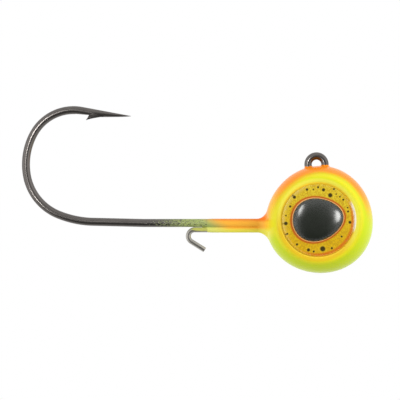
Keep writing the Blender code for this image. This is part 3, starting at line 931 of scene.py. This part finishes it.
def iris_foil():
    """Printed gold foil: a pale copper line and a darker ring round the pupil, spots, and an orange rim, with
    a painted highlight on its forward edge and a painted reflection over its rear edge.
    """
    graph = new_finish("iris_foil")
    point, x, y, z = graph.place()
    eye_x, eye_z = x - EYE.x, z - EYE.z
    weave = graph.noise(point, 6.0, 3.0)
    cloud = graph.noise(point, 0.8, 2.0)
    radius = graph.math("SQRT", eye_x * eye_x + eye_z * eye_z)

    along = eye_x / PUPIL_HALF_LENGTH
    lift = PUPIL_LIFT * (0.5 + 0.5 * along) ** PUPIL_LIFT_POWER
    upward = (eye_z - lift) / (PUPIL_HALF_HEIGHT * (1.0 - PUPIL_TAPER * along))
    from_pupil = (graph.math("SQRT", along * along + upward * upward) - 1.0) * PUPIL_RADIUS

    spots = halos = None
    for angle, distance, size in SPOTS:
        centre_x = distance * math.cos(math.radians(angle))
        centre_z = distance * math.sin(math.radians(angle))
        away = graph.math("SQRT", (eye_x - centre_x) ** 2.0 + (eye_z - centre_z) ** 2.0)
        spot = graph.ramp(size * 1.5, size * 0.8, away)
        halo = graph.ramp(size * 1.5 + 0.2, size, away)
        spots = spot if spots is None else graph.math("MAXIMUM", spots, spot)
        halos = halo if halos is None else graph.math("MAXIMUM", halos, halo)

    top = graph.ramp(-4.0, 5.0, eye_z)
    gold = graph.blend(top, srgb(230, 186, 3), srgb(234, 210, 50))
    gold = graph.blend(graph.ramp(0.38, 0.62, weave) * 0.8, gold, srgb(196, 150, 8))
    gold = graph.blend(graph.ramp(0.4, 0.7, cloud) * 0.4, gold, srgb(226, 186, 30))
    gold = graph.blend(halos * 0.35, gold, srgb(228, 200, 50))
    # Painted reflection: a pale haze over the foil's rear edge, for a light seen in the lens's rim.
    rear_reflection = graph.ramp(*FOIL_REFLECTION, radius) * graph.ramp(*FOIL_REFLECTION_REAR, 0.35 * eye_z - eye_x)
    gold = graph.blend(rear_reflection * graph.ramp(0.35, 0.6, weave) * 0.45, gold, srgb(240, 222, 130))
    forward = graph.ramp(*FOIL_RIM_FORWARD, 0.7 * eye_x - 0.66 * eye_z)
    rim = graph.ramp(*FOIL_RIM, radius + 0.25 * forward + 0.1 * cloud) * (0.2 + 0.5 * forward)
    colour = graph.blend(rim, gold, srgb(214, 84, 14))
    colour = graph.blend(graph.ramp(*FOIL_EDGE, radius) * 0.15, colour, srgb(120, 62, 8))
    # Painted highlight: a pale crescent on the foil's forward edge.
    gleam = graph.ramp(*FOIL_GLEAM, radius) * graph.ramp(*FOIL_GLEAM_X, eye_x + 0.1 * eye_z)
    colour = graph.blend(gleam * 0.7, colour, srgb(255, 236, 206))
    colour = graph.blend(spots * 0.95, colour, srgb(36, 28, 2))
    colour = graph.blend(graph.ramp(*PUPIL_RING, from_pupil), colour, srgb(200, 96, 8))
    colour = graph.blend(graph.ramp(*PUPIL_LINE, from_pupil), colour, srgb(255, 188, 110))
    return graph.finish(base_color=colour, roughness=0.4 + 0.15 * weave,
                        normal=graph.bump(weave, 0.01), specular_ior_level=0.1)


def pupil_black():
    """Deep glossy black with a trace of green."""
    graph = new_finish("pupil_black")
    point, *_ = graph.place()
    cloud = graph.noise(point, 0.9, 3.0)
    return graph.finish(base_color=graph.blend(cloud, srgb(12, 14, 9), srgb(20, 24, 18)),
                        roughness=0.17 + 0.05 * cloud, specular_ior_level=0.35)


def lens_resin():
    """Clear resin with a few faint waves."""
    graph = new_finish("lens_resin")
    point, *_ = graph.place()
    waves = graph.noise(point, 0.7, 2.0)
    return graph.finish(base_color=graph.blend(waves, srgb(255, 255, 252), srgb(252, 252, 246)),
                        roughness=0.0, transmission_weight=1.0, ior=1.5,
                        normal=graph.bump(waves, 0.01))


def cast_lead():
    """Dull cast lead alloy, under the paint."""
    graph = new_finish("cast_lead")
    point, *_ = graph.place()
    grain = graph.noise(point, 2.5, 4.0)
    return graph.finish(base_color=graph.blend(grain, srgb(120, 122, 126), srgb(160, 162, 166)),
                        metallic=1.0, roughness=0.45 + 0.2 * grain, normal=graph.bump(grain, 0.03))


def adhesive_pad():
    """Milky adhesive under the foil."""
    graph = new_finish("adhesive_pad")
    point, *_ = graph.place()
    cloud = graph.noise(point, 1.5, 3.0)
    return graph.finish(base_color=graph.blend(cloud, srgb(226, 224, 212), srgb(240, 238, 228)),
                        roughness=0.5 + 0.2 * cloud, normal=graph.bump(cloud, 0.02))


# --- studio ------------------------------------------------------------------

def make_camera():
    """Put the camera square to the jig's right side, far off with a long lens."""
    data = bpy.data.cameras.new("camera")
    data.lens = LENS_LENGTH
    data.sensor_width = SENSOR
    away = VIEW_WIDTH * LENS_LENGTH / SENSOR
    data.clip_end = 10.0 * away * MM
    camera = bpy.data.objects.new("camera", data)
    camera.location = (VIEW_CENTRE - ACROSS * away) * MM
    camera.rotation_euler = (math.radians(90.0), 0.0, 0.0)
    bpy.context.scene.collection.objects.link(camera)
    bpy.context.scene.camera = camera


def aim(azimuth, elevation):
    """Return the direction of a light: azimuth to the right and elevation up, as seen from the camera."""
    azimuth, elevation = math.radians(azimuth), math.radians(elevation)
    return Vector((math.sin(azimuth) * math.cos(elevation), -math.cos(azimuth) * math.cos(elevation),
                   math.sin(elevation)))


def soft_panel(graph, direction, azimuth, elevation, half_width, half_height, softness):
    """Return 1 inside a soft-edged panel of the room, and 0 outside it. The sizes are in degrees."""
    centre = aim(azimuth, elevation)
    sideways = aim(azimuth + 90.0, 0.0)
    upward = sideways.cross(centre) * -1.0

    def along(axis):
        return graph.node("ShaderNodeVectorMath", {0: direction, 1: tuple(axis)}, output="Value",
                          operation="DOT_PRODUCT")

    facing = graph.math("MAXIMUM", along(centre), 0.001)
    share = graph.ramp(0.0, 0.2, facing)
    for axis, half in ((sideways, half_width), (upward, half_height)):
        angle = graph.math("ABSOLUTE", graph.math("ARCTANGENT", along(axis) / facing))
        inner, outer = math.radians(half * (1.0 - softness)), math.radians(half * (1.0 + softness))
        share = share * graph.ramp(outer, inner, angle)
    return share


def make_world():
    """Light the jig from a white room with soft panels, which is darker in front, round the camera."""
    world = bpy.data.worlds.new("studio")
    bpy.context.scene.world = world
    graph = Graph(world)
    direction = graph.node("ShaderNodeTexCoord", {}, output="Generated")
    light = ROOM
    for _, strength, *panel in PANELS:
        light = light + strength * soft_panel(graph, direction, *panel)
    room = graph.node("ShaderNodeBackground", {"Color": WHITE, "Strength": light})
    backdrop = graph.node("ShaderNodeBackground", {"Color": WHITE, "Strength": 1.0})
    camera_ray = graph.node("ShaderNodeLightPath", {}, output="Is Camera Ray")
    choice = graph.node("ShaderNodeMixShader", {0: camera_ray, 1: room, 2: backdrop})
    graph.feed(graph.tree.nodes["World Output"].inputs["Surface"], choice)


def add_light(name, catchers, power, azimuth, elevation, width, height):
    """Add a soft light that shines only on some pieces."""
    data = bpy.data.lights.new(name, "AREA")
    data.shape = "ELLIPSE"
    data.size, data.size_y = width * MM, height * MM
    data.energy = power
    light = bpy.data.objects.new(name, data)
    towards = aim(azimuth, elevation)
    target = sum((Vector(corner) for piece in catchers for corner in piece.bound_box), Vector())
    target /= 8.0 * len(catchers)
    light.location = target + towards * LIGHT_DISTANCE * MM
    light.rotation_mode = "QUATERNION"
    light.rotation_quaternion = towards.to_track_quat("Z", "Y")
    light.visible_camera = False
    bpy.context.scene.collection.objects.link(light)
    receivers = bpy.data.collections.new(name)
    for piece in catchers:
        receivers.objects.link(piece)
    light.light_linking.receiver_collection = receivers


def make_floor():
    """Lay a pale round floor well below the jig."""
    centre = Vector((VIEW_CENTRE.x, 0.0, -FLOOR_DROP))
    ring = ring_round(centre, Vector((1.0, 0.0, 0.0)), ACROSS, FLOOR_RADIUS, FLOOR_RADIUS, FLOOR_SIDES)
    graph = new_finish("floor_paper")
    point, *_ = graph.place()
    tone = graph.blend(graph.noise(point, 0.05), srgb(244, 244, 244), srgb(250, 250, 250))
    material = graph.finish(base_color=tone, roughness=0.9)
    floor = make_piece("floor", ring, [tuple(range(FLOOR_SIDES))], material)
    for rays in ("visible_diffuse", "visible_glossy", "visible_transmission", "visible_shadow"):
        setattr(floor, rays, False)


def make_studio(catchers):
    """Set up the camera, the room, the floor and the lights."""
    make_camera()
    make_world()
    make_floor()
    for name, kind, *light in LIGHTS:
        add_light(name, catchers[kind], *light)


# --- the jig head ------------------------------------------------------------

bpy.context.scene.view_settings.view_transform = "Standard"

head = make_piece("paint_skin", *mesh_of_field(head_distance, HEAD_CELL), head_paint(), "head_paint")
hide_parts("paint_coat")
lead = make_piece("lead_casting", *mesh_of_field(lead_distance, LEAD_CELL), cast_lead(), "cast_lead")
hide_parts("lead_head")

hook = build_hook(hook_metal())
keeper = build_keeper(keeper_metal())
foil, black, resin = iris_foil(), pupil_black(), lens_resin()
eyes = (("right", -1.0), ("left", 1.0))
irises = [build_iris(label, side, foil) for label, side in eyes]
pupils = [build_pupil(label, side, black) for label, side in eyes]
lenses = [build_lens(label, side, resin) for label, side in eyes]
for piece in [head, lead, hook, keeper, *irises, *pupils, *lenses]:
    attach(piece, "root")

adhesive = adhesive_pad()
for label, _ in eyes:
    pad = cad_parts[f"{label}_eye_adhesive"]
    pad.data.materials.clear()
    pad.data.materials.append(adhesive)

make_studio({"head": [head, *irises], "skin": [head], "hook": [hook],
             "right_pupil": pupils[:1], "left_pupil": pupils[1:]})
